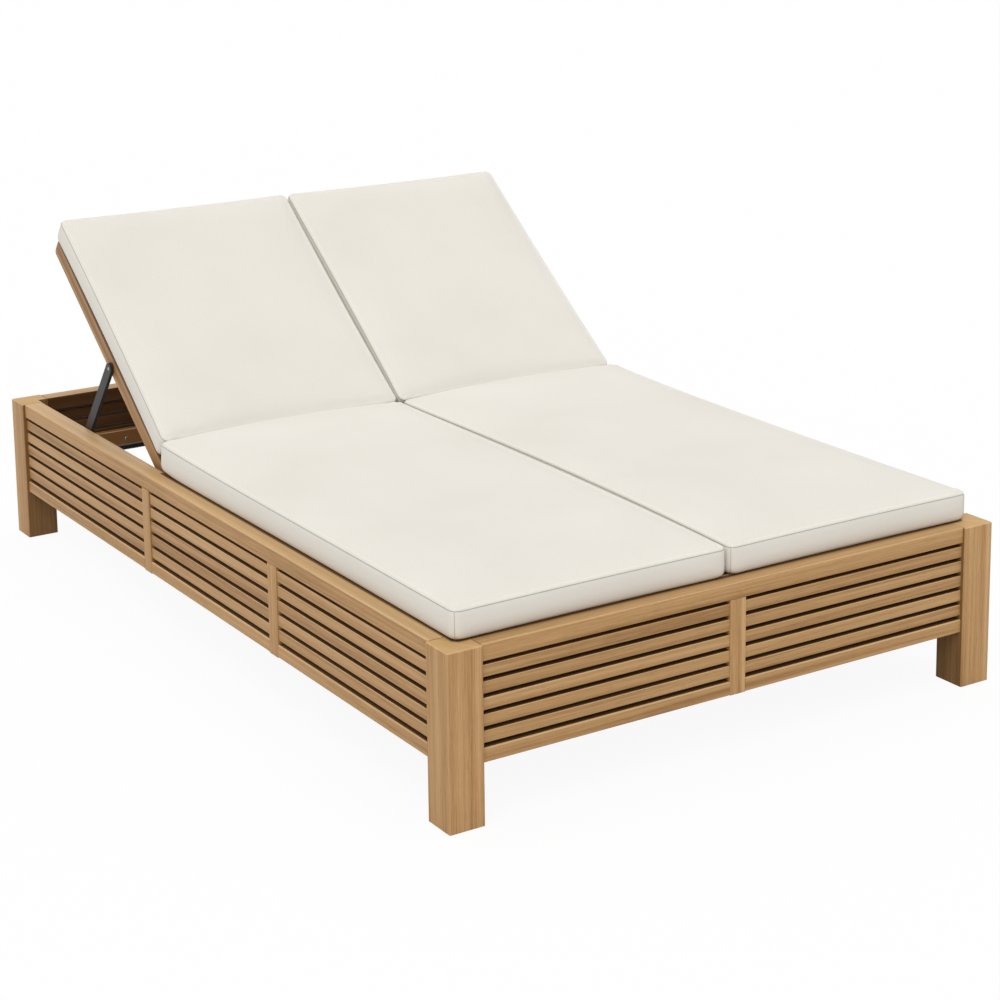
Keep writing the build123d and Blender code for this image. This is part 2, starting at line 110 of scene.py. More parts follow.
class ShaderTree:
    """A shader's node tree and the one method that adds a node to it."""

    def __init__(self, node_tree):
        self.nodes = node_tree.nodes
        self.links = node_tree.links
        self.nodes.clear()

    def node(self, kind, settings=None, values=None, output=0):
        made = self.nodes.new(kind)
        for name, value in (settings or {}).items():
            if name == "stops":
                self.set_stops(made.color_ramp, value)
            else:
                setattr(made, name, value)
        for key, value in (values or {}).items():
            if isinstance(value, Field):
                self.links.new(value.socket, made.inputs[key])
            else:
                made.inputs[key].default_value = value
        return Field(self, made.outputs[output]) if made.outputs else None

    @staticmethod
    def set_stops(ramp, stops):
        while len(ramp.elements) < len(stops):
            ramp.elements.new(1.0)
        for element, (place, colour) in zip(ramp.elements, stops):
            element.position = place
            element.color = colour

    def light_path(self, output):
        return self.node("ShaderNodeLightPath", output=output)

    def mix_shaders(self, factor, first, second):
        return self.node("ShaderNodeMixShader", values={0: factor, 1: first, 2: second})


class Finish(ShaderTree):
    """A material, with the nodes that its finishes share."""

    def __init__(self, name):
        self.material = bpy.data.materials.new(name)
        self.material.use_nodes = True
        super().__init__(self.material.node_tree)

    def spot(self):
        return self.node("ShaderNodeTexCoord", output="Object")

    def facing(self):
        return self.node("ShaderNodeTexCoord", output="Normal")

    def vector(self, x, y, z):
        return self.node("ShaderNodeCombineXYZ", values={0: x, 1: y, 2: z})

    def parts(self, vector):
        return [self.node("ShaderNodeSeparateXYZ", values={0: vector}, output=axis) for axis in (X, Y, Z)]

    def noise(self, vector, scale=1.0, detail=2.0, roughness=0.5):
        values = {"Vector": vector, "Scale": scale, "Detail": detail, "Roughness": roughness}
        return self.node("ShaderNodeTexNoise", values=values)

    def mix(self, factor, first, second):
        return self.node("ShaderNodeMix", {"data_type": "RGBA"}, {0: factor, 6: first, 7: second}, output=2)

    def bump(self, height, strength, distance):
        values = {"Strength": strength, "Distance": distance, "Height": height}
        return self.node("ShaderNodeBump", values=values)

    def surface(self, **sockets):
        """Ends the tree in a Principled shader."""
        values = {name.replace("_", " "): value for name, value in sockets.items()}
        shader = self.node("ShaderNodeBsdfPrincipled", values=values)
        self.node("ShaderNodeOutputMaterial", values={"Surface": shader})
        return self.material


def tint(red, green, blue):
    """A colour written as display values from 0 to 255, as linear values."""
    linear = []
    for value in (red, green, blue):
        share = value / 255
        linear.append(share / 12.92 if share <= 0.04045 else ((share + 0.055) / 1.055) ** 2.4)
    return (*linear, 1.0)


def times(colour, factor):
    return (*(factor * value for value in colour[:3]), 1.0)


# Wood
WOOD_DARK = tint(139, 98, 54)
WOOD_MID = tint(184, 142, 92)
WOOD_LIGHT = tint(206, 167, 119)
WOOD_COOL = tint(158, 112, 62)
WOOD_PORE = tint(116, 80, 42)
WOOD_END = tint(198, 161, 108)
# The dark colour of painted shade and shadow on the wood.
WOOD_PAINTED_SHADE = tint(70, 41, 9)
# The pale colour of painted highlights and painted light on the wood.
WOOD_HIGHLIGHT = tint(230, 200, 150)
WOOD_STOPS = [(0.24, WOOD_DARK), (0.50, WOOD_MID), (0.80, WOOD_LIGHT)]

BOARD_STEP = 7.31  # keeps the numbers of boards along one axis apart from those along the next
LOT_SHIFTS = (5.3, 1.7, -2.9)  # metres of figure between the first lot and the last, along and across
RING_SLOPES = (0.86, 0.62)  # how the growth rings cross a board's section
DRIFTS, DRIFTS_ALONG = 7, 0.9  # to the metre, as are the first two of each line below
DRIFT_REACH = 0.020  # metres that the rings wander
BANDS, BANDS_ALONG, BAND_SHARE = 62, 0.45, 0.66
STREAKS, STREAKS_ALONG, STREAK_SHARE = 240, 1.3, 0.70
FIBRES, FIBRES_ALONG, FIBRE_SHARE = 700, 16, 0.34
PORES, PORES_ALONG, PORE_SHARE = 1100, 45, 0.36
COOL_PATCHES, COOL_ALONG, COOL_SHARE = 5, 2.2, 0.14
END_RINGS = (130, 520)  # to the metre, both ways across the end of a board
PORE_RANGE = (0.62, 0.74)  # the noise at which pores open
COOL_RANGE = (0.45, 0.75)
LOW_EDGE_RANGE = (0.62, 0.13)  # shares of a board's height
LOT_SHARE = 0.10
# Painted shade towards the lower edges of stacked boards.
LOW_EDGE_SHADE_SHARE = 0.16
# Painted highlight on the rounded edges below the upper faces.
ARRIS_HIGHLIGHT_SHARE = 0.34
# Painted shadow line under the back cushions' edges.
SHADOW_BAND_SHARE = 0.75
# Painted shadow under the seat cushions.
SEAT_SHADOW_SHARE = 0.85
ACROSS_GRAIN = (0.82, 0.97)  # how far a face must look along the grain to be the end of a board
UPWARD = (0.85, 0.99)  # the normal's height on a face that looks up
ARRIS_UPWARD = (0.20, 0.55)
UP_OR_DOWN = (0.80, 0.95)
INWARD = (-0.15, -0.35)  # metres from the frame's middle, against the way that a face looks
COVERED_HALF_WIDTH, COVERED_FOOT_END, COVERED_HEAD_END = 0.612, -1.005, 0.244  # the seats' outline
COVERED_CORNER = 0.018
COVERED_FADE = (0.002, -0.003)
WOOD_ROUGHNESS, STREAK_ROUGHNESS, PORE_ROUGHNESS, END_ROUGHNESS = 0.46, 0.22, 0.12, 0.12
INNER_ROUGHNESS, LEVEL_FACE_ROUGHNESS = 0.3, 0.5
FIBRE_RELIEF, STREAK_RELIEF, PORE_RELIEF = 0.45, 0.35, 0.5


def board_lot(finish, spots, boards, seed):
    """A random number for each board, and how near a point is to the lower edge of its board."""
    number, low_edge_shade = seed, None
    for axis, pitch, start in boards:
        count = (spots[axis] - start) / pitch
        number = count.floor() + number * BOARD_STEP
        if axis == Z:
            low_edge_shade = (count - count.floor()).between(*LOW_EDGE_RANGE)
    lot = finish.node("ShaderNodeTexWhiteNoise", {"noise_dimensions": "1D"}, {"W": number})
    return lot, low_edge_shade


def grain_direction(grain, turn):
    """The way that the grain of a turned board runs."""
    axis = Vector([float(letter == grain) for letter in "XYZ"])
    return tuple(Matrix.Rotation(turn, 3, "X") @ axis)


def under_the_seats(spots):
    """1 on the wood that the seat cushions cover, 0 beside them: where the painted shadow goes."""
    past_side, past_foot = spots[X].size() - COVERED_HALF_WIDTH, COVERED_FOOT_END - spots[Y]
    past_corner = (past_side + past_foot) * math.sqrt(0.5) + COVERED_CORNER * (math.sqrt(2) - 1)
    beyond = past_side.larger(past_foot).larger(past_corner).larger(spots[Y] - COVERED_HEAD_END)
    return beyond.between(*COVERED_FADE)


def timber(
    name,
    grain,
    boards,
    seed,
    turn=0.0,
    end_share=0.6,
    contrast=1.0,
    tone=0.0,
    bleach=0.0,
    oil_share=0.0,
    inner_shade_share=0.0,
    shadow_band=None,
    end_finish=WOOD_END,
    covered=False,
):
    """Oiled hardwood with its grain along one axis.

    boards lists (axis, pitch, start): each step along that axis is another board, with its own
    figure and tone. turn is the slope of the boards about the X axis. A tone below 0 is a darker
    wood. Boards stacked by height get painted shade towards their lower edges. oil_share
    paints shade on the flat upper and lower faces, for the shade in the gaps between slats.
    inner_shade_share paints shade on the faces that look towards the middle of the frame.
    bleach pales the upper faces with painted light. shadow_band is a pair of heights between
    which a painted shadow line runs, under a cushion's overhanging edge. covered paints
    shadow on the upper faces where the seat cushions lie.
    """
    finish = Finish(name)
    unturned = {"Vector": finish.spot(), "Rotation": (-turn, 0.0, 0.0)}
    spots = finish.parts(finish.node("ShaderNodeMapping", {"vector_type": "POINT"}, unturned))
    lot, low_edge_shade = board_lot(finish, spots, boards, seed)
    along_axis = "XYZ".index(grain)
    first_axis, second_axis = (axis for axis in (X, Y, Z) if axis != along_axis)
    along = spots[along_axis] + lot * LOT_SHIFTS[0]
    first = spots[first_axis] + lot * LOT_SHIFTS[1]
    second = spots[second_axis] + lot * LOT_SHIFTS[2]

    def figure_noise(across_scale, along_scale, detail, roughness=0.5):
        place = finish.vector(first * across_scale, second * across_scale, along * along_scale)
        return finish.noise(place, detail=detail, roughness=roughness)

    drift = figure_noise(DRIFTS, DRIFTS_ALONG, 1.0) - 0.5
    cut = first * RING_SLOPES[0] + second * RING_SLOPES[1] + drift * DRIFT_REACH
    band = finish.noise(finish.vector(cut * BANDS, drift * 2, along * BANDS_ALONG), roughness=0.45)
    streak_place = finish.vector(cut * STREAKS, 0.0, along * STREAKS_ALONG)
    streak = finish.noise(streak_place, detail=3.0, roughness=0.6)
    fibre = figure_noise(FIBRES, FIBRES_ALONG, 2.0, 0.6)
    pore = figure_noise(PORES, PORES_ALONG, 1.0).between(*PORE_RANGE)
    cool = figure_noise(COOL_PATCHES, COOL_ALONG, 1.0).between(*COOL_RANGE)
    figure = (band - 0.5) * (BAND_SHARE * contrast) + (streak - 0.5) * (STREAK_SHARE * contrast)
    figure = figure + (fibre - 0.5) * FIBRE_SHARE + (lot - 0.5) * LOT_SHARE + (0.5 + tone)
    colour = finish.node("ShaderNodeValToRGB", {"stops": WOOD_STOPS}, {"Fac": figure})
    colour = finish.mix(cool * COOL_SHARE, colour, WOOD_COOL)
    colour = finish.mix(pore * PORE_SHARE, colour, WOOD_PORE)
    # Painted shade: stacked boards darker towards their lower edges.
    if low_edge_shade:
        colour = finish.mix(low_edge_shade * LOW_EDGE_SHADE_SHARE, colour, WOOD_PAINTED_SHADE)
    to_grain = {0: finish.facing(), 1: grain_direction(grain, turn)}
    end_grain = finish.node("ShaderNodeVectorMath", {"operation": "DOT_PRODUCT"}, to_grain, output="Value")
    ends = end_grain.size().between(*ACROSS_GRAIN)
    ring = finish.noise(finish.vector(first * END_RINGS[0], second * END_RINGS[1], 0.0)) * 0.5 + 0.5
    colour = finish.mix(ends * ring * end_share, colour, end_finish)
    rough = WOOD_ROUGHNESS + (streak - 0.5) * STREAK_ROUGHNESS + pore * PORE_ROUGHNESS + ends * END_ROUGHNESS
    normal_x, normal_y, normal_z = finish.parts(finish.facing())
    upper_face = normal_z.between(*UPWARD)
    # Painted highlight on the rounded edges below the upper faces.
    if not turn:
        arris_highlight = normal_z.between(*ARRIS_UPWARD) * (1.0 - upper_face)
        colour = finish.mix(arris_highlight * ARRIS_HIGHLIGHT_SHARE, colour, WOOD_HIGHLIGHT)
    # Painted light: the upper faces paler.
    if bleach:
        colour = finish.mix(upper_face * bleach, colour, WOOD_HIGHLIGHT)
    # Painted shadow: a dark band between two heights, under a cushion's overhanging edge.
    if shadow_band:
        colour = finish.mix(spots[Z].between(*shadow_band) * SHADOW_BAND_SHARE, colour, WOOD_PAINTED_SHADE)
    # Painted shadow on the upper faces under the seat cushions.
    if covered:
        colour = finish.mix(under_the_seats(spots) * upper_face * SEAT_SHADOW_SHARE, colour, WOOD_PAINTED_SHADE)
    # Painted shade on the faces that look towards the middle of the frame.
    if inner_shade_share:
        inner = (spots[X] * normal_x + spots[Y] * normal_y).between(*INWARD)
        colour = finish.mix(inner * inner_shade_share, colour, WOOD_PAINTED_SHADE)
        rough = rough + inner * INNER_ROUGHNESS
    # Painted shade on the flat upper and lower faces, for the shade in the gaps between slats.
    if oil_share:
        level_faces = normal_z.size().between(*UP_OR_DOWN)
        colour = finish.mix(level_faces * oil_share, colour, WOOD_PAINTED_SHADE)
        rough = rough + level_faces * LEVEL_FACE_ROUGHNESS
    relief = fibre * FIBRE_RELIEF + streak * STREAK_RELIEF - pore * PORE_RELIEF
    return finish.surface(
        Base_Color=colour,
        Roughness=rough,
        Specular_IOR_Level=0.27,
        Normal=finish.bump(relief, 0.22, 0.0005),
    )


def outer_timber(name, grain, seed, boards, inner_shade_share=0.90, **shares):
    """Wood of the frame's outside, with painted shade on its inner faces."""
    return timber(f"{name}_wood", grain, boards, seed, inner_shade_share=inner_shade_share, **shares)


def shaded_inside_timber(name, grain, seed, boards):
    """Wood that the frame hides from the light, darkened all over with painted shade."""
    return timber(f"{name}_wood", grain, boards, seed, tone=-0.42)


# Cloth, thread, paint, steel and plastic
THREAD_PITCH = 0.0011
SLUBS_ALONG, SLUBS_ACROSS = 150, 1500  # to the metre of cloth, along a thread and across it
CLOUDS, FLECKS = 3.2, 420  # to the metre
WEAVE_TONE, SLUB_TONE, CLOUD_TONE, FLECK_TONE = 0.16, 0.5, 0.35, 0.3
WEAVE_RELIEF, SLUB_RELIEF, FLECK_RELIEF = 0.6, 0.5, 0.3


def woven_cloth(name, base, shade):
    """Plain weave: threads on the piece's own UV map, in metres, and slubs in the yarn."""
    finish = Finish(name)
    across, up, _ = finish.parts(finish.node("ShaderNodeUVMap", {"uv_map": "cloth"}))
    thread = 2 * math.pi / THREAD_PITCH
    weave = (across * thread).wave() * (up * thread).wave() * 0.5 + 0.5
    weft_slub = finish.noise(finish.vector(across * SLUBS_ALONG, up * SLUBS_ACROSS, 0.0), detail=1.0)
    warp_slub = finish.noise(finish.vector(across * SLUBS_ACROSS, up * SLUBS_ALONG, 3.0), detail=1.0)
    slub = weft_slub * 0.5 + warp_slub * 0.5
    cloud = finish.noise(finish.vector(across * CLOUDS, up * CLOUDS, 1.0), detail=3.0)
    fleck = finish.noise(finish.vector(across * FLECKS, up * FLECKS, 5.0))
    tone = (weave - 0.5) * WEAVE_TONE + (slub - 0.5) * SLUB_TONE
    tone = tone + (cloud - 0.5) * CLOUD_TONE + (fleck - 0.5) * FLECK_TONE + 0.5
    relief = weave * WEAVE_RELIEF + slub * SLUB_RELIEF + fleck * FLECK_RELIEF
    return finish.surface(
        Base_Color=finish.mix(tone.between(0.15, 0.85), shade, base),
        Roughness=0.86 + (fleck - 0.5) * 0.12,
        Specular_IOR_Level=0.22,
        Sheen_Weight=0.12,
        Sheen_Roughness=0.5,
        Normal=finish.bump(relief, 0.28, 0.0004),
    )


def thread_finish(name, base):
    """Twisted sewing thread."""
    finish = Finish(name)
    twist = finish.noise(finish.spot(), scale=1900.0, detail=1.0)
    return finish.surface(
        Base_Color=finish.mix(twist, times(base, 0.86), base),
        Roughness=0.8 + twist * 0.1,
        Specular_IOR_Level=0.2,
        Normal=finish.bump(twist, 0.2, 0.0003),
    )


def powder_coat(name, base, roughness):
    """Fine orange-peel paint, a little paler where it is rubbed."""
    finish = Finish(name)
    peel = finish.noise(finish.spot(), scale=620.0)
    rub = finish.noise(finish.spot(), scale=26.0, detail=4.0, roughness=0.65).between(0.56, 0.8)
    return finish.surface(
        Base_Color=finish.mix(rub * 0.35, base, times(base, 2.0)),
        Roughness=roughness + (peel - 0.5) * 0.25 - rub * 0.06,
        Specular_IOR_Level=0.45,
        Normal=finish.bump(peel, 0.18, 0.0003),
    )


def turned_steel(name):
    """Stainless steel with fine turning marks."""
    finish = Finish(name)
    marks = finish.noise(finish.spot(), scale=1400.0)
    cloud = finish.noise(finish.spot(), scale=90.0)
    return finish.surface(
        Base_Color=finish.mix(cloud, tint(168, 166, 162), tint(196, 195, 192)),
        Metallic=1.0,
        Roughness=0.30 + (marks - 0.5) * 0.24,
        Normal=finish.bump(marks, 0.12, 0.0002),
    )


def moulded_plastic(name, base):
    """Moulded plastic with a spark-eroded grain."""
    finish = Finish(name)
    grain = finish.noise(finish.spot(), scale=1500.0)
    return finish.surface(
        Base_Color=finish.mix(grain, base, times(base, 1.35)),
        Roughness=0.55 + (grain - 0.5) * 0.2,
        Normal=finish.bump(grain, 0.15, 0.0002),
    )


# Boards and their finishes
PANEL_SLAT_PITCH, PANEL_SLAT_GAP = 0.031, 0.008
DECK_SLAT_WIDTH, DECK_SLAT_COUNT = 0.064, 16
BACK_SLAT_PITCH = 0.07283
BACK_BOARDS_FROM_HINGE = 0.01458  # from the hinge to the first gap between the backs' boards
SHADOW_BAND_DEPTHS = (0.007, 0.003)  # below the top of the backs' rails
# Share of painted shade in the gaps between slats.
GAP_SHADE = 0.85

deck_low, deck_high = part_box("deck_slats")
deck_pitch = (deck_high.y - deck_low.y - DECK_SLAT_WIDTH) / (DECK_SLAT_COUNT - 1)
deck_start = deck_low.y - (deck_pitch - DECK_SLAT_WIDTH) / 2
panel_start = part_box("left_bottom_rails")[1].z + PANEL_SLAT_GAP / 2
hinge_along = HINGE.y * math.cos(BACK_ANGLE) + HINGE.z * math.sin(BACK_ANGLE)
back_rail_top = HINGE.z * math.cos(BACK_ANGLE) - HINGE.y * math.sin(BACK_ANGLE) + BACK_RAIL_PROUD

panel_boards = (Z, PANEL_SLAT_PITCH, panel_start)
deck_boards = (Y, deck_pitch, deck_start)
back_boards = (Y, BACK_SLAT_PITCH, hinge_along + BACK_BOARDS_FROM_HINGE)
both_sides = (X, 5.0, 0.0)
both_ends = (Y, 5.0, 0.0)
four_corners = [(X, 1.0, -3.0), (Y, 1.4, -2.8)]
stile_rows = [both_sides, (Y, 0.6, -1.5)]
high_rail = {"contrast": 0.9, "covered": True}
low_rail = {"contrast": 0.9, "tone": -0.03, "oil_share": GAP_SHADE}

timber_finishes = {
    "posts": outer_timber("posts", "Z", 1.0, four_corners, 0.58, end_share=0.95, covered=True),
    "side_rails": outer_timber("side_rails", "Y", 2.0, [both_sides], tone=-0.03, bleach=0.34, **high_rail),
    "low_side_rails": outer_timber("low_side_rails", "Y", 14.0, [both_sides], **low_rail),
    "end_rails": outer_timber("end_rails", "X", 3.0, [both_ends], tone=-0.06, bleach=0.14, **high_rail),
    "low_end_rails": outer_timber("low_end_rails", "X", 15.0, [both_ends], **low_rail),
    "stiles": outer_timber("stiles", "Z", 4.0, stile_rows),
    "foot_bay": outer_timber("foot_bay", "Y", 5.0, [panel_boards, both_sides], oil_share=GAP_SHADE),
    "middle_bay": outer_timber("middle_bay", "Y", 12.0, [panel_boards, both_sides], oil_share=GAP_SHADE),
    "head_bay": outer_timber("head_bay", "Y", 13.0, [panel_boards, both_sides], oil_share=GAP_SHADE),
    "end_slats": outer_timber("end_slats", "X", 6.0, [panel_boards, both_sides, both_ends], oil_share=GAP_SHADE),
    "inner_long": shaded_inside_timber("inner_long", "Y", 7.0, [(X, 0.5, -0.75)]),
    "inner_cross": shaded_inside_timber("inner_cross", "X", 8.0, [(Y, 0.9, -1.0)]),
    "deck": timber("deck_wood", "X", [deck_boards], 9.0, covered=True),
    "back_rails": timber(
        "back_rails_wood",
        "Y",
        [(X, 0.3, -0.9)],
        10.0,
        turn=BACK_ANGLE,
        tone=-0.07,
        shadow_band=[back_rail_top - depth for depth in SHADOW_BAND_DEPTHS],
    ),
    "back_boards": timber(
        "back_boards_wood",
        "X",
        [back_boards, both_sides],
        11.0,
        turn=BACK_ANGLE,
        end_share=1.0,
        # Painted shade on the boards' ends, in the gap between the rails and the back cushions.
        end_finish=WOOD_PAINTED_SHADE,
    ),
}
cloth = woven_cloth("cushion_cloth", tint(232, 228, 219), tint(216, 210, 199))
seam_thread = thread_finish("seam_thread", tint(183, 175, 161))
corner_thread = thread_finish("corner_thread", tint(196, 189, 176))
# The topstitch thread is paler than the cloth: partly its own colour, partly painted highlight for the
# rolled edge above the seam.
stitch_thread = thread_finish("stitch_thread", tint(246, 243, 236))
prop_paint = powder_coat("prop_paint", tint(30, 30, 31), 0.46)
steel = turned_steel("bolt_steel")
recess_shadow = moulded_plastic("recess_shadow", tint(26, 25, 24))
glide_plastic = moulded_plastic("glide_plastic", tint(36, 34, 33))

paired_timber = {
    "foot_leg": "posts",
    "head_leg": "posts",
    "top_rail": "side_rails",
    "bottom_rails": "low_side_rails",
    "side_stiles": "stiles",
    "foot_bay_slats": "foot_bay",
    "middle_bay_slats": "middle_bay",
    "head_bay_slats": "head_bay",
    "deck_ledger": "inner_long",
    "racks": "inner_long",
    "back_outer_rail": "back_rails",
    "back_inner_rail": "back_rails",
    "back_foot_rail": "back_boards",
    "back_head_rail": "back_boards",
    "back_slats": "back_boards",
}
single_timber = {
    "foot_top_rail": "end_rails",
    "head_top_rail": "end_rails",
    "foot_bottom_rails": "low_end_rails",
    "head_bottom_rails": "low_end_rails",
    "foot_stile": "stiles",
    "head_stile": "stiles",
    "foot_panel_slats": "end_slats",
    "head_panel_slats": "end_slats",
    "foot_ledger": "inner_cross",
    "head_ledger": "inner_cross",
    "hinge_beam": "inner_cross",
    "seat_beam": "inner_long",
    "head_beam": "inner_long",
    "rest_blocks": "inner_long",
    "deck_slats": "deck",
}
paired_hardware = {
    "back_pivots": steel,
    "prop_pivots": steel,
    "prop_arms": prop_paint,
    "prop_bar": prop_paint,
}


def finish_for(name):
    """A node's material. Nodes of a pair start with left_ or right_."""
    paired_name = name.split("_", 1)[1]
    if name in single_timber:
        return timber_finishes[single_timber[name]]
    if paired_name in paired_timber:
        return timber_finishes[paired_timber[paired_name]]
    if name == "leg_glides":
        return glide_plastic
    return paired_hardware.get(paired_name)


for name, node in nodes.items():
    material = finish_for(name)
    if material:
        for place in node.material_slots:
            place.material = material


# Cushions
CORNER = 0.018
LATTICE_PITCH = 0.013
EDGE_ROWS = (0.0, 0.004, 0.009, 0.015, 0.022)
SIDE_LEVELS = (  # height and inset, from the underside to the rolled edge above the seam
    (0.0, 0.0100),
    (0.0028, 0.0046),
    (0.0075, 0.0012),
    (0.0140, 0.0),
    (0.0245, 0.0),
    (0.0350, 0.0),
    (0.0455, 0.0),
    (0.0532, 0.0001),
    (0.0558, 0.0012),
    (0.0571, 0.0001),
    (0.0590, 0.0005),
    (0.0607, 0.0024),
)
SEAM_LEVEL = 8
TOP_LEVEL = len(SIDE_LEVELS) - 1
SEAM_CREASE = 0.75
SIDE_DRAW = 0.003
DRAW_POWER = 6  # how quickly the draw of the sides dies out towards the middle
CROWN_REACH = 0.050
NEIGHBOUR_LIFT, NEIGHBOUR_REACH = 0.013, 0.12
HEAD_LIFT, HEAD_ARCH, HEAD_REACH = 0.013, 0.010, 0.30
HEAD_LEAN, HEAD_LEAN_REACH = 0.0095, 0.06
HEAD_CURL, HEAD_CURL_REACH = 0.009, 0.035
FULLNESS = 0.008  # how far the filled cushions stand past their cut at the sides and the foot
CUT_CROWN_SHARE = 0.75  # of the crown, before the cushion is filled
FILLED_CROWN_SHARE = 0.45  # the most that the filling adds to it
SIDE_SWELL = 0.0016
FILLING_STEPS = 20


def lattice_steps(half):
    """Rows from one edge to the other: close together near the edges, even between."""
    inner = half - EDGE_ROWS[-1]
    count = max(2, round(2 * inner / LATTICE_PITCH))
    middle = [-inner + 2 * inner * step / count for step in range(count + 1)]
    low = [-half + row for row in EDGE_ROWS[:-1]]
    return low + middle + [-value for value in reversed(low)]


def plan_point(x, y, half_x, half_y):
    """Rounds the rectangle's corners and pulls its long edges in between them."""
    over_x, over_y = abs(x) - (half_x - CORNER), abs(y) - (half_y - CORNER)
    if over_x > 0 and over_y > 0:
        share_x, share_y = over_x / CORNER, over_y / CORNER
        over_x = CORNER * share_x * math.sqrt(1 - share_y**2 / 2)
        over_y = CORNER * share_y * math.sqrt(1 - share_x**2 / 2)
        x = math.copysign(half_x - CORNER + over_x, x)
        y = math.copysign(half_y - CORNER + over_y, y)
    pulled_x = SIDE_DRAW * (1 - (y / half_y) ** 2) * (abs(x) / half_x) ** DRAW_POWER
    pulled_y = SIDE_DRAW * (1 - (x / half_x) ** 2) * (abs(y) / half_y) ** DRAW_POWER
    return x - math.copysign(pulled_x, x), y - math.copysign(pulled_y, y)


class Pad:
    """A boxed cushion on its own plane, with the lattice that its seams follow.

    A seat cushion has a lift_side, the side where its neighbour lies: 1 towards +X, -1 towards -X.
    """

    def __init__(self, name, plane, width, length, crown, lift_side):
        self.name = name
        self.plane = plane
        self.crown = crown
        self.lift_side = lift_side
        self.half_x, self.half_y = width / 2, length / 2
        self.xs, self.ys = lattice_steps(self.half_x), lattice_steps(self.half_y)
        self.rim = self.ring(0)
        self.number = {}
        self.points = []
        self.add_points()
        self.faces = []
        self.spots = []  # on the cloth, one list for each face
        self.add_flat_faces()
        self.add_side_faces()

    def border(self, i, j):
        return i in (0, len(self.xs) - 1) or j in (0, len(self.ys) - 1)

    def add_points(self):
        for level, (height, inset) in enumerate(SIDE_LEVELS):
            for i, x in enumerate(self.xs):
                for j, y in enumerate(self.ys):
                    if level in (0, TOP_LEVEL) or self.border(i, j):
                        self.number[i, j, level] = len(self.points)
                        self.points.append(self.point(x, y, level, height, inset))

    def point(self, x, y, level, height, inset):
        half_x, half_y = self.half_x - inset, self.half_y - inset
        px, py = plan_point(x * half_x / self.half_x, y * half_y / self.half_y, half_x, half_y)
        rise = 0.0
        if level == TOP_LEVEL:
            rise_x = 1 - math.exp(-(self.half_x - abs(x)) / CROWN_REACH)
            rise_y = 1 - math.exp(-(self.half_y - abs(y)) / CROWN_REACH)
            rise = self.crown * rise_x * rise_y
        share = height / SIDE_LEVELS[-1][0]
        rise += (self.neighbour_lift(x, y) + self.head_lift(x, y)) * share
        rise += self.head_fade(y, HEAD_CURL, HEAD_CURL_REACH) * (1 - share)
        py -= self.head_fade(y, HEAD_LEAN, HEAD_LEAN_REACH) * share
        return Vector((px, py, height + rise))

    def neighbour_lift(self, x, y):
        """Two cushions side by side press each other up a little between their corners."""
        if not self.lift_side:
            return 0.0
        reach = (self.half_x - self.lift_side * x) / NEIGHBOUR_REACH
        return NEIGHBOUR_LIFT * math.exp(-reach) * (1 - (y / self.half_y) ** 2)

    def head_lift(self, x, y):
        """The backs' lower ends rest against the seat cushions' heads and press them up."""
        return self.head_fade(y, HEAD_LIFT + HEAD_ARCH * (1 - (x / self.half_x) ** 2), HEAD_REACH)

    def head_fade(self, y, most, reach):
        return most * math.exp(-(self.half_y - y) / reach) if self.lift_side else 0.0

    def add_flat_faces(self):
        """The underside and the top."""
        for i in range(len(self.xs) - 1):
            for j in range(len(self.ys) - 1):
                places = [(i, j), (i + 1, j), (i + 1, j + 1), (i, j + 1)]
                spots = [(self.xs[here_i], self.ys[here_j]) for here_i, here_j in places]
                self.add_face(places[::-1], (0,) * 4, spots[::-1])
                self.add_face(places, (TOP_LEVEL,) * 4, spots)

    def add_side_faces(self):
        marks = [0.0]
        ends = list(zip(self.rim, self.rim[1:] + self.rim[:1]))
        for (i, j), (next_i, next_j) in ends:
            marks.append(marks[-1] + math.dist((self.xs[i], self.ys[j]), (self.xs[next_i], self.ys[next_j])))
        for level in range(TOP_LEVEL):
            low, high = SIDE_LEVELS[level][0], SIDE_LEVELS[level + 1][0]
            for (here, ahead), start, end in zip(ends, marks, marks[1:]):
                spots = [(start, low), (end, low), (end, high), (start, high)]
                self.add_face((here, ahead, ahead, here), (level, level, level + 1, level + 1), spots)

    def add_face(self, places, levels, spots):
        self.faces.append([self.number[i, j, level] for (i, j), level in zip(places, levels)])
        self.spots.append(spots)

    def ring(self, inset):
        """Lattice places of a loop round the cushion, this many rows in from the edge."""
        low, high_i, high_j = inset, len(self.xs) - 1 - inset, len(self.ys) - 1 - inset
        places = [(i, low) for i in range(low, high_i)]
        places += [(high_i, j) for j in range(low, high_j)]
        places += [(i, high_j) for i in range(high_i, low, -1)]
        places += [(low, j) for j in range(high_j, low, -1)]
        return places

    def loop(self, inset, level, lift=0.0):
        """Where such a loop runs on the filled cushion, raised a little for thread to lie on it."""
        raised = Vector((0.0, 0.0, lift))
        return [self.plane @ (self.points[self.number[i, j, level]] + raised) for i, j in self.ring(inset)]

    def corner_columns(self):
        """Where the upright seams run on the filled cushion."""
        levels = range(SEAM_LEVEL + 1)
        last_i, last_j = len(self.xs) - 1, len(self.ys) - 1
        corners = [(i, j) for i in (0, last_i) for j in (0, last_j)]
        return [[self.plane @ self.points[self.number[i, j, level]] for level in levels] for i, j in corners]

    def mesh_object(self):
        mesh = bpy.data.meshes.new(self.name)
        mesh.from_pydata(self.points, [], self.faces)
        layer = mesh.uv_layers.new(name="cloth")
        for face, spots in zip(mesh.polygons, self.spots):
            for loop_index, spot in zip(face.loop_indices, spots):
                layer.data[loop_index].uv = spot
        mesh.shade_smooth()
        made = bpy.data.objects.new(self.name, mesh)
        bpy.context.scene.collection.objects.link(made)
        return made


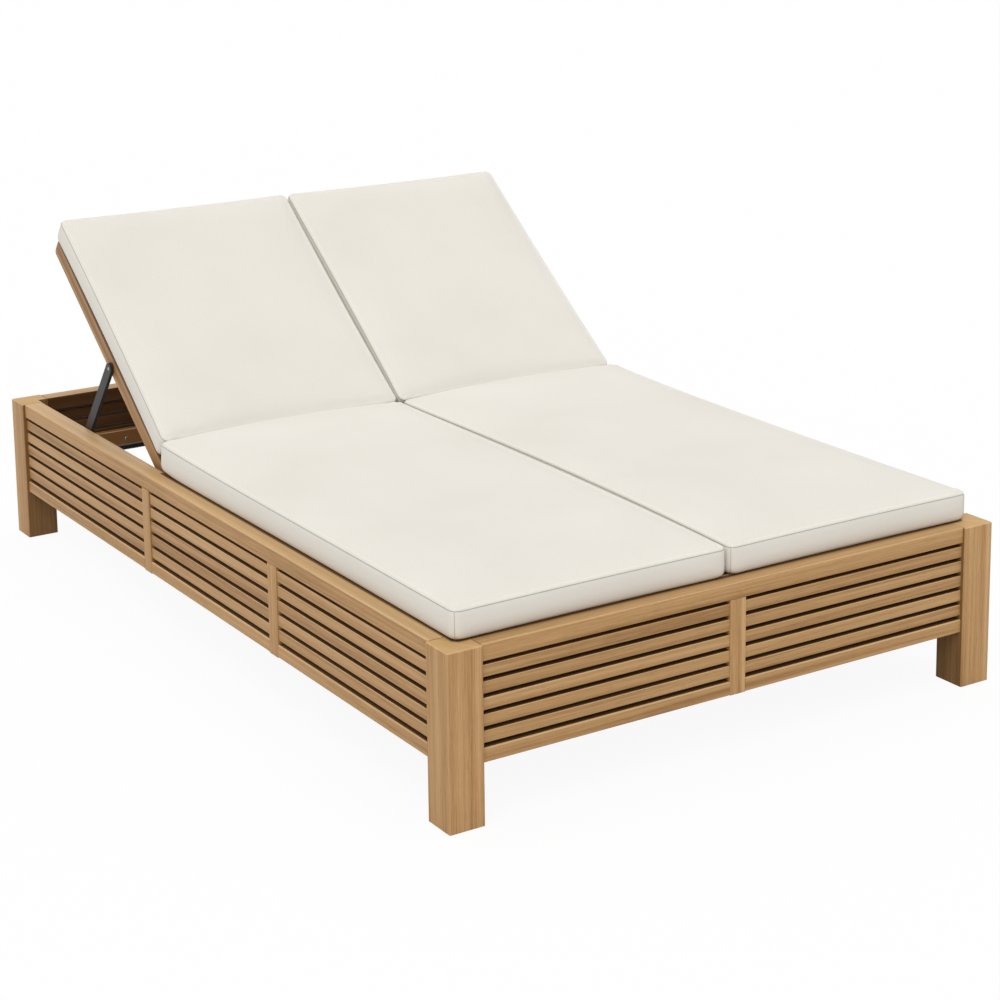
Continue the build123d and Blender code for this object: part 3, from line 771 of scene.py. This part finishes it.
def fill(pad, made, side_cap, top_cap):
    """Inflates the cushion as cloth, held at its seams, and keeps each point's move within a cap."""
    held = [pad.number[i, j, SEAM_LEVEL] for i, j in pad.rim]
    held += [index for (i, j, level), index in pad.number.items() if level <= 1]
    group = made.vertex_groups.new(name="held")
    group.add(held, 1.0, "REPLACE")
    filling = made.modifiers.new("filling", "CLOTH")
    settings = filling.settings
    settings.quality = 5
    settings.mass = 0.3
    settings.tension_stiffness = 12
    settings.compression_stiffness = 12
    settings.bending_stiffness = 0.4
    settings.use_pressure = True
    settings.uniform_pressure_force = 4
    settings.vertex_group_mass = "held"
    settings.effector_weights.gravity = 0
    filling.collision_settings.use_collision = False
    filling.point_cache.frame_start = 1
    filling.point_cache.frame_end = FILLING_STEPS
    for step in range(1, FILLING_STEPS + 1):
        bpy.context.scene.frame_set(step)
    filled = made.evaluated_get(bpy.context.evaluated_depsgraph_get()).data
    top_points = {
        index
        for (i, j, level), index in pad.number.items()
        if level == TOP_LEVEL and not pad.border(i, j)
    }
    for index, point in enumerate(pad.points):
        move = filled.vertices[index].co - point
        cap = top_cap if index in top_points else side_cap
        if move.length:
            point += move.normalized() * cap * math.tanh(move.length / cap)
    made.modifiers.remove(filling)
    made.vertex_groups.remove(group)
    bpy.context.scene.frame_set(1)
    for vertex, point in zip(made.data.vertices, pad.points):
        vertex.co = point


def crease_seams(pad, made):
    """Keeps the top seam crisp when the surface is divided."""
    seam = {pad.number[i, j, SEAM_LEVEL] for i, j in pad.rim}
    layer = made.data.attributes.new("crease_edge", "FLOAT", "EDGE")
    for edge, value in zip(made.data.edges, layer.data):
        if edge.vertices[0] in seam and edge.vertices[1] in seam:
            value.value = SEAM_CREASE


def plain_mesh(made, name):
    """Applies what is live on an object and gives a plain mesh object at the origin."""
    graph = bpy.context.evaluated_depsgraph_get()
    evaluated = made.evaluated_get(graph)
    mesh = bpy.data.meshes.new_from_object(evaluated, preserve_all_data_layers=True, depsgraph=graph)
    bpy.data.objects.remove(made)
    mesh.name = name
    piece = bpy.data.objects.new(name, mesh)
    bpy.context.scene.collection.objects.link(piece)
    return piece


def line_curve(name, lines, closed):
    curve = bpy.data.curves.new(name, "CURVE")
    curve.dimensions = "3D"
    for points in lines:
        spline = curve.splines.new("POLY")
        spline.points.add(len(points) - 1)
        for target, point in zip(spline.points, points):
            target.co = (*point, 1.0)
        spline.use_cyclic_u = closed
    return curve


def cord_piece(name, lines, closed, radius, material):
    """Round cords along lines of points."""
    curve = line_curve(name, lines, closed)
    curve.bevel_depth = radius
    curve.bevel_resolution = 2
    curve.use_fill_caps = True
    curve.materials.append(material)
    made = bpy.data.objects.new(name, curve)
    bpy.context.scene.collection.objects.link(made)
    piece = plain_mesh(made, name)
    piece.data.shade_smooth()
    return piece


# Geometry Nodes trees
def node_group(name, inputs):
    group = bpy.data.node_groups.new(name, "GeometryNodeTree")
    group.interface.new_socket("Geometry", in_out="INPUT", socket_type="NodeSocketGeometry")
    for label, (kind, value) in inputs.items():
        made = group.interface.new_socket(label, in_out="INPUT", socket_type=kind)
        if value is not None:
            made.default_value = value
    group.interface.new_socket("Geometry", in_out="OUTPUT", socket_type="NodeSocketGeometry")
    return group


def add_node(group, kind, settings=None, values=None):
    """Adds a node. Its values are numbers, sockets, or lists of sockets where several join in one."""
    made = group.nodes.new(kind)
    for name, value in (settings or {}).items():
        setattr(made, name, value)
    for key, value in (values or {}).items():
        sources = value if isinstance(value, list) else [value]
        for source in sources:
            if isinstance(source, bpy.types.NodeSocket):
                group.links.new(source, made.inputs[key])
            else:
                made.inputs[key].default_value = source
    return made


def place_on_points(group, points, instance, turn, values=None):
    """Puts a copy on each point and makes the copies real."""
    places = {"Points": points, "Instance": instance, "Rotation": turn, **(values or {})}
    placed = add_node(group, "GeometryNodeInstanceOnPoints", None, places)
    return add_node(group, "GeometryNodeRealizeInstances", None, {0: placed.outputs[0]}).outputs[0]


def painted(group, geometry, material):
    values = {"Geometry": geometry, "Material": material}
    return add_node(group, "GeometryNodeSetMaterial", None, values).outputs[0]


def stitch_tree():
    """Stitches laid along a line, one after another, a little uneven."""
    inputs = {
        "Pitch": ("NodeSocketFloat", 0.0055),
        "Length": ("NodeSocketFloat", 0.0040),
        "Thickness": ("NodeSocketFloat", 0.0006),
        "Unevenness": ("NodeSocketFloat", 0.10),
        "Seed": ("NodeSocketInt", 3),
        "Thread": ("NodeSocketMaterial", None),
    }
    group = node_group("row_of_stitches", inputs)
    start = add_node(group, "NodeGroupInput").outputs
    by_length = {"Curve": start["Geometry"], "Length": start["Pitch"]}
    spaced = add_node(group, "GeometryNodeResampleCurve", {"mode": "LENGTH"}, by_length)
    points = add_node(
        group, "GeometryNodeCurveToPoints", {"mode": "EVALUATED"}, {"Curve": spaced.outputs[0]}
    )
    body = add_node(
        group,
        "GeometryNodeMeshCylinder",
        {"fill_type": "TRIANGLE_FAN"},
        {"Vertices": 6, "Side Segments": 1, "Radius": start["Thickness"], "Depth": start["Length"]},
    )
    below = add_node(group, "ShaderNodeMath", {"operation": "MULTIPLY"}, {0: start["Unevenness"], 1: -1.0})
    spread = {"Min": below.outputs[0], "Max": start["Unevenness"], "Seed": start["Seed"]}
    wobble = add_node(group, "FunctionNodeRandomValue", {"data_type": "FLOAT"}, spread)
    grown = add_node(group, "ShaderNodeMath", {"operation": "ADD"}, {0: wobble.outputs[1], 1: 1.0})
    scale = add_node(group, "ShaderNodeCombineXYZ", None, {0: 1.0, 1: 1.0, 2: grown.outputs[0]})
    sewn = place_on_points(
        group,
        points.outputs["Points"],
        body.outputs["Mesh"],
        points.outputs["Rotation"],
        {"Scale": scale.outputs[0]},
    )
    add_node(group, "NodeGroupOutput", None, {0: painted(group, sewn, start["Thread"])})
    return group


def screw_tree():
    """A low round screw head with a hexagon socket on each point, each turned by its own amount."""
    inputs = {
        "Head radius": ("NodeSocketFloat", 0.0042),
        "Head height": ("NodeSocketFloat", 0.0010),
        "Shoulder share": ("NodeSocketFloat", 0.72),
        "Socket radius": ("NodeSocketFloat", 0.0019),
        "Socket lift": ("NodeSocketFloat", 0.0003),
        "Turn": ("NodeSocketVector", (0.0, 0.0, 0.0)),
        "Most spin": ("NodeSocketFloat", 1.0),
        "Seed": ("NodeSocketInt", 5),
        "Metal": ("NodeSocketMaterial", None),
        "Dark": ("NodeSocketMaterial", None),
    }
    group = node_group("screws_on_points", inputs)
    start = add_node(group, "NodeGroupInput").outputs
    shares = {0: start["Head radius"], 1: start["Shoulder share"]}
    shoulder = add_node(group, "ShaderNodeMath", {"operation": "MULTIPLY"}, shares)
    head = add_node(
        group,
        "GeometryNodeMeshCone",
        {"fill_type": "NGON"},
        {
            "Vertices": 20,
            "Radius Bottom": start["Head radius"],
            "Radius Top": shoulder.outputs[0],
            "Depth": start["Head height"],
        },
    )
    well = add_node(
        group,
        "GeometryNodeMeshCylinder",
        {"fill_type": "NGON"},
        {"Vertices": 6, "Radius": start["Socket radius"], "Depth": start["Socket lift"]},
    )
    lift = add_node(group, "ShaderNodeCombineXYZ", None, {2: start["Head height"]})
    on_top = {"Geometry": well.outputs["Mesh"], "Translation": lift.outputs[0]}
    raised = add_node(group, "GeometryNodeTransform", None, on_top)
    metal = painted(group, head.outputs["Mesh"], start["Metal"])
    dark = painted(group, raised.outputs[0], start["Dark"])
    joined = add_node(group, "GeometryNodeJoinGeometry", None, {0: [dark, metal]})
    spread = {"Min": 0.0, "Max": start["Most spin"], "Seed": start["Seed"]}
    spin = add_node(group, "FunctionNodeRandomValue", {"data_type": "FLOAT"}, spread)
    about = add_node(group, "ShaderNodeCombineXYZ", None, {2: spin.outputs[1]})
    aligned = add_node(group, "FunctionNodeEulerToRotation", None, {0: start["Turn"]})
    turned = add_node(group, "FunctionNodeEulerToRotation", None, {0: about.outputs[0]})
    turns = {0: aligned.outputs[0], 1: turned.outputs[0]}
    both = add_node(group, "FunctionNodeRotateRotation", {"rotation_space": "LOCAL"}, turns)
    driven = place_on_points(group, start["Geometry"], joined.outputs[0], both.outputs[0])
    add_node(group, "NodeGroupOutput", None, {0: driven})
    return group


def grow(name, data, group, values):
    """Runs a tree on a curve or a mesh of points and gives the result as a plain mesh object."""
    made = bpy.data.objects.new(name, data)
    bpy.context.scene.collection.objects.link(made)
    step = made.modifiers.new("grow", "NODES")
    step.node_group = group
    items = group.interface.items_tree
    sockets = {item.name: item.identifier for item in items if item.in_out == "INPUT"}
    for label, value in values.items():
        step[sockets[label]] = value
    made.update_tag()
    bpy.context.view_layer.update()
    return plain_mesh(made, name)


stitches = stitch_tree()
screws = screw_tree()

SEAM_RADIUS, CORNER_SEAM_RADIUS = 0.0008, 0.0006
STITCH_LIFT = 0.0001


def make_cushion(name, node, body, plane, width, length, crown, lift_side=0):
    pad = Pad(name, plane, width, length, crown * CUT_CROWN_SHARE, lift_side)
    made = pad.mesh_object()
    fill(pad, made, SIDE_SWELL, crown * FILLED_CROWN_SHARE)
    crease_seams(pad, made)
    made.data.transform(plane)
    divide = made.modifiers.new("divide", "SUBSURF")
    divide.levels = 1
    divide.render_levels = 1
    divide.uv_smooth = "NONE"
    cushion = plain_mesh(made, name)
    cushion.data.shade_smooth()
    cushion.data.materials.append(cloth)
    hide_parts(node)
    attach(cushion, body)
    top_seam = cord_piece(f"{name}_top_seam", [pad.loop(0, SEAM_LEVEL)], True, SEAM_RADIUS, seam_thread)
    corner_seams = cord_piece(
        f"{name}_corner_seams", pad.corner_columns(), False, CORNER_SEAM_RADIUS, corner_thread
    )
    stitch_line = line_curve(f"{name}_topstitch", [pad.loop(1, TOP_LEVEL, STITCH_LIFT)], True)
    topstitch = grow(f"{name}_topstitch", stitch_line, stitches, {"Thread": stitch_thread})
    for piece in (top_seam, corner_seams, topstitch):
        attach(piece, body)


BACK_TURN = Matrix.Translation(HINGE) @ Matrix.Rotation(BACK_ANGLE, 4, "X")
BACK_CUSHION_START, BACK_CUSHION_END = 0.046, 0.7375  # up the slope from the hinge
CUSHION_SEAT = 0.0003
CUSHION_PLAY = 0.0008
SEAT_CROWN, BACK_CROWN = 0.011, 0.009


def full_box(node, side):
    """A cushion's box, with the side that no neighbour presses filled out."""
    low, high = (Vector(corner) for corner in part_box(node))
    if side == "left":
        low.x -= FULLNESS
    else:
        high.x += FULLNESS
    return low, high


for side, neighbour_side in (("left", 1), ("right", -1)):
    low, high = full_box(f"{side}_seat_cushion", side)
    low.y -= FULLNESS
    make_cushion(
        f"{side}_seat_pad",
        f"{side}_seat_cushion",
        "base",
        Matrix.Translation(((low.x + high.x) / 2, (low.y + high.y) / 2, deck_high.z + CUSHION_SEAT)),
        high.x - low.x - 2 * CUSHION_PLAY,
        high.y - low.y - 2 * CUSHION_PLAY,
        SEAT_CROWN,
        neighbour_side,
    )
    low, high = full_box(f"{side}_back_cushion", side)
    middle = (BACK_CUSHION_START + BACK_CUSHION_END) / 2
    height = BACK_RAIL_PROUD + BACK_SLAT_THICKNESS + CUSHION_SEAT
    make_cushion(
        f"{side}_back_pad",
        f"{side}_back_cushion",
        f"back_{side}",
        BACK_TURN @ Matrix.Translation(((low.x + high.x) / 2, middle, height)),
        high.x - low.x - 2 * CUSHION_PLAY,
        BACK_CUSHION_END - BACK_CUSHION_START - 2 * CUSHION_PLAY,
        BACK_CROWN,
    )


# Screws
FACE_PLUS_X = (0.0, math.pi / 2, 0.0)
FACE_MINUS_X = (0.0, -math.pi / 2, 0.0)
FACE_MINUS_Y = (math.pi / 2, 0.0, 0.0)
SCREW_SEAT = 0.0004
SCREW_FROM_END = 0.06
SIDE_SCREWS, HEAD_SCREWS = 7, 8
HEAD_SCREW_REACH = 0.53


def screw_row(name, points, turn, body):
    mesh = bpy.data.meshes.new(name)
    mesh.from_pydata(points, [], [])
    piece = grow(name, mesh, screws, {"Turn": turn, "Metal": steel, "Dark": recess_shadow})
    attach(piece, body)


def even_steps(low, high, count):
    return [low + (high - low) * step / (count - 1) for step in range(count)]


ledger_low, ledger_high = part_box("left_deck_ledger")
ledger_ys = even_steps(ledger_low.y + SCREW_FROM_END, ledger_high.y - SCREW_FROM_END, SIDE_SCREWS)
ledger_z = (ledger_low.z + ledger_high.z) / 2
ledger_face = -ledger_high.x - SCREW_SEAT
screw_row("left_ledger_screws", [(-ledger_face, y, ledger_z) for y in ledger_ys], FACE_PLUS_X, "base")
screw_row("right_ledger_screws", [(ledger_face, y, ledger_z) for y in ledger_ys], FACE_MINUS_X, "base")
head_low, head_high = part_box("head_ledger")
head_z = (head_low.z + head_high.z) / 2
head_xs = even_steps(-HEAD_SCREW_REACH, HEAD_SCREW_REACH, HEAD_SCREWS)
head_points = [(x, head_low.y - SCREW_SEAT, head_z) for x in head_xs]
screw_row("head_ledger_screws", head_points, FACE_MINUS_Y, "base")


# Studio
WHITE = (1.0, 1.0, 1.0, 1.0)
FLOOR_REACH = 60.0
FLOOR_BOUNCE = (0.80, 0.80, 0.80, 1.0)
FLOOR_SEEN = (0.86, 0.86, 0.86, 1.0)
FLOOR_GLOW = 0.93
SKY = (0.97, 0.985, 1.0, 1.0)
SKY_STRENGTH = 0.62
SENSOR_WIDTH = 36.0


def floor_finish():
    finish = Finish("studio_floor")
    camera_ray = finish.light_path("Is Camera Ray")
    shade = finish.mix(camera_ray, FLOOR_BOUNCE, FLOOR_SEEN)
    paper = finish.node("ShaderNodeBsdfDiffuse", values={"Color": shade})
    glow = finish.node("ShaderNodeEmission", values={"Color": WHITE, "Strength": 1.0})
    seen = finish.mix_shaders(camera_ray * FLOOR_GLOW, paper, glow)
    finish.node("ShaderNodeOutputMaterial", values={"Surface": seen})
    return finish.material


def add_floor():
    mesh = bpy.data.meshes.new("studio_floor")
    low, high = -FLOOR_REACH, FLOOR_REACH
    corners = [(low, low, 0), (high, low, 0), (high, high, 0), (low, high, 0)]
    mesh.from_pydata(corners, [], [(0, 1, 2, 3)])
    floor = bpy.data.objects.new("studio_floor", mesh)
    floor.data.materials.append(floor_finish())
    bpy.context.scene.collection.objects.link(floor)


def add_sun(name, towards, strength, softness):
    light = bpy.data.lights.new(name, "SUN")
    light.energy = strength
    light.angle = math.radians(softness)
    lamp = bpy.data.objects.new(name, light)
    lamp.rotation_euler = Vector(towards).to_track_quat("-Z", "Y").to_euler()
    bpy.context.scene.collection.objects.link(lamp)


def add_world():
    """A soft sky for the object, and white where the camera, gloss or glass looks past it."""
    world = bpy.data.worlds.new("studio")
    bpy.context.scene.world = world
    world.use_nodes = True
    tree = ShaderTree(world.node_tree)
    looks = tree.light_path("Is Camera Ray").larger(tree.light_path("Is Glossy Ray"))
    looks = looks.larger(tree.light_path("Is Transmission Ray"))
    soft = tree.node("ShaderNodeBackground", values={"Color": SKY, "Strength": SKY_STRENGTH})
    white = tree.node("ShaderNodeBackground", values={"Color": WHITE, "Strength": 1.0})
    both = tree.mix_shaders(looks, soft, white)
    tree.node("ShaderNodeOutputWorld", values={"Surface": both})


def add_camera(place, yaw, pitch, roll, focal_share, shift):
    """yaw turns from +Y towards +X, and pitch looks down. The shares are of the picture's width."""
    yaw, pitch, roll = (math.radians(angle) for angle in (yaw, pitch, roll))
    ahead = Vector((math.sin(yaw) * math.cos(pitch), math.cos(yaw) * math.cos(pitch), -math.sin(pitch)))
    right = Vector((math.cos(yaw), -math.sin(yaw), 0.0))
    up = right.cross(ahead)
    turned_right = right * math.cos(roll) + up * math.sin(roll)
    turned_up = up * math.cos(roll) - right * math.sin(roll)
    data = bpy.data.cameras.new("photo_camera")
    data.sensor_width = SENSOR_WIDTH
    data.lens = SENSOR_WIDTH * focal_share
    data.shift_y = shift
    data.clip_start = 0.1
    data.clip_end = 200.0
    camera = bpy.data.objects.new("photo_camera", data)
    turn = Matrix((turned_right, turned_up, -ahead)).transposed()
    camera.matrix_world = Matrix.Translation(place) @ turn.to_4x4()
    bpy.context.scene.collection.objects.link(camera)
    bpy.context.scene.camera = camera


add_floor()
add_world()
add_sun("key_light", towards=(0.46, 0.50, -0.80), strength=1.26, softness=40)
add_sun("top_light", towards=(-0.25, -0.30, -1.0), strength=0.66, softness=60)
add_camera(
    place=(-2.61244, -4.32101, 1.82983),
    yaw=32.4194,
    pitch=11.4028,
    roll=-0.6842,
    focal_share=2.31802,
    shift=-0.25,
)
bpy.context.scene.view_settings.view_transform = "Standard"
